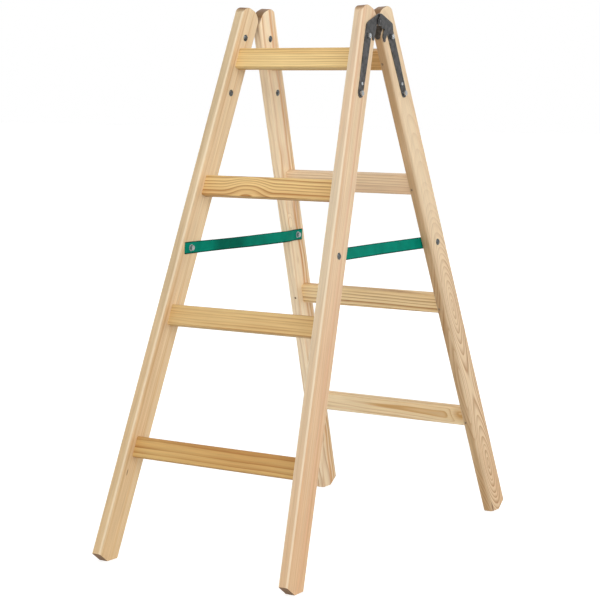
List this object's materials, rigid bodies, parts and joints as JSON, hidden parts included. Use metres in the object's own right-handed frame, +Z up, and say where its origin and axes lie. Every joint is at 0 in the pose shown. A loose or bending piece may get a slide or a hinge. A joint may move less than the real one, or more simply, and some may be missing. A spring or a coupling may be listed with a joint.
{
  "type": "trestle ladder",
  "caption": "Folding wooden trestle ladder: splayed leaves of flat rungs on riveted top hinges, held open by webbing bands.",
  "frame": {"origin": "on the floor, midway between the four feet of the open ladder", "axes": "+Z up, +X across the ladder to the right as seen from the front leaf, +Y from the front leaf towards the rear leaf"},
  "size_m": [0.4736, 0.9098, 1.123],
  "materials": {
    "stile_pine": "planed, bare pale pine",
    "rung_pine": "planed, bare yellow pine",
    "hinge_steel": "dark grey stamped steel, satin",
    "fastener_steel": "bright zinc plate",
    "webbing": "woven green webbing"
  },
  "bodies": {
    "front_leaf": {"front_left_stile": "stile_pine", "front_right_stile": "stile_pine", "front_rung_1": "rung_pine", "front_rung_2": "rung_pine", "front_rung_3": "rung_pine", "front_rung_4": "rung_pine", "front_rung_nails": "fastener_steel", "front_left_hinge_arm": "hinge_steel", "front_right_hinge_arm": "hinge_steel", "left_hinge_rivet": "hinge_steel", "right_hinge_rivet": "hinge_steel", "front_hinge_bolts": "fastener_steel", "front_hinge_nuts": "fastener_steel", "front_hinge_screws": "fastener_steel", "left_band": "webbing", "right_band": "webbing", "front_band_bolts": "fastener_steel", "front_band_washers": "fastener_steel", "front_band_nuts": "fastener_steel"},
    "rear_leaf": {"rear_left_stile": "stile_pine", "rear_right_stile": "stile_pine", "rear_rung_1": "rung_pine", "rear_rung_2": "rung_pine", "rear_rung_3": "rung_pine", "rear_rung_4": "rung_pine", "rear_rung_nails": "fastener_steel", "rear_left_hinge_arm": "hinge_steel", "rear_right_hinge_arm": "hinge_steel", "rear_hinge_bolts": "fastener_steel", "rear_hinge_nuts": "fastener_steel", "rear_hinge_screws": "fastener_steel", "rear_band_bolts": "fastener_steel", "rear_band_washers": "fastener_steel", "rear_band_nuts": "fastener_steel"}
  },
  "joints": [
    {"name": "leaf_fold", "type": "hinge", "parent": "front_leaf", "child": "rear_leaf", "pos_m": [0, 0, 1.09032], "axis": [-1, 0, 0], "range_deg": [0, 39.6], "deforming": ["left_band", "right_band"]}
  ]
}
